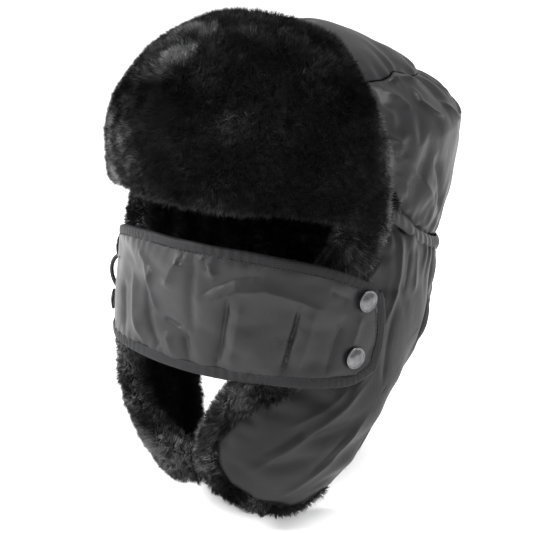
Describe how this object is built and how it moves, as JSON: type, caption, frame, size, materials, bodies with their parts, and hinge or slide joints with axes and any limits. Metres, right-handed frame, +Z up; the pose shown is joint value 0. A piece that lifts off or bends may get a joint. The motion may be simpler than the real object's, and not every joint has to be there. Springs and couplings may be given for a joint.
{
  "type": "trapper hat",
  "caption": "Winter trapper hat with a puffed nylon crown, turned-up fur brim flap, fur-lined ear flaps meeting at the chin, a neck guard and a press-stud face mask with elastic loops.",
  "frame": {"origin": "centre of the head opening, level with the lower edge of the crown at the brow", "axes": "+Z up through the crown, -Y the way the wearer faces, +X the wearer's left"},
  "size_m": [0.1999, 0.2401, 0.2851],
  "materials": {
    "nylon": "satin charcoal nylon",
    "wadding": "matt polyester wadding",
    "plush_fur": "short black plush pile",
    "long_fur": "long black plush pile with a grey sheen",
    "mask_cloth": "satin charcoal nylon, lightly padded",
    "binding": "stitched nylon tape",
    "elastic": "covered elastic",
    "hook_loop": "hook and loop pile",
    "snap_metal": "gunmetal plated"
  },
  "bodies": {
    "crown": {"crown_top_panel": "nylon", "crown_left_panel": "nylon", "crown_right_panel": "nylon", "crown_batting": "wadding", "crown_lining": "plush_fur", "crown_hem_band": "nylon", "hem_elastic": "elastic", "left_flap_shell": "nylon", "left_flap_batting": "wadding", "left_flap_fur": "plush_fur", "left_flap_fur_edge": "plush_fur", "right_flap_shell": "nylon", "right_flap_batting": "wadding", "right_flap_fur": "plush_fur", "right_flap_fur_edge": "plush_fur", "neck_guard_shell": "nylon", "neck_guard_batting": "wadding", "neck_guard_fur": "plush_fur", "snap_studs": "snap_metal"},
    "brim_flap": {"front_flap_backing": "nylon", "front_flap_interlining": "wadding", "front_flap_fur": "long_fur"},
    "left_end": {"left_end_shell": "nylon", "left_end_batting": "wadding", "left_end_fur": "plush_fur", "left_end_fur_edge": "plush_fur", "chin_hook_patch": "hook_loop"},
    "right_end": {"right_end_shell": "nylon", "right_end_batting": "wadding", "right_end_fur": "plush_fur", "right_end_fur_edge": "plush_fur", "chin_loop_patch": "hook_loop"},
    "mask": {"mask_outer_shell": "mask_cloth", "mask_inner_lining": "mask_cloth", "mask_top_binding": "binding", "mask_bottom_binding": "binding", "mask_left_binding": "binding", "mask_right_binding": "binding", "snap_caps": "snap_metal", "snap_sockets": "snap_metal", "ear_loop_left": "elastic"},
    "right_loop": {"ear_loop_right": "elastic"}
  },
  "joints": [
    {"name": "brim_flap_fold", "type": "hinge", "parent": "crown", "child": "brim_flap", "pos_m": [0, -0.1156, 0.0035], "axis": [1, 0, 0], "range_deg": [0, 95]},
    {"name": "left_end_turn", "type": "hinge", "parent": "crown", "child": "left_end", "pos_m": [0.0729, -0.081, -0.1182], "axis": [-0.7431, -0.6691, 0], "range_deg": [0, 80]},
    {"name": "right_end_turn", "type": "hinge", "parent": "crown", "child": "right_end", "pos_m": [-0.0799, -0.0522, -0.1182], "axis": [-0.2035, 0.9791, 0], "range_deg": [0, 80]},
    {"name": "mask_pull_off", "type": "slide", "parent": "crown", "child": "mask", "axis": [0, -1, 0], "range_m": [0, 0.12]},
    {"name": "right_loop_swing", "type": "hinge", "parent": "mask", "child": "right_loop", "pos_m": [-0.0869, -0.0452, -0.086], "axis": [0, 0, 1], "range_deg": [-60, 15]}
  ]
}
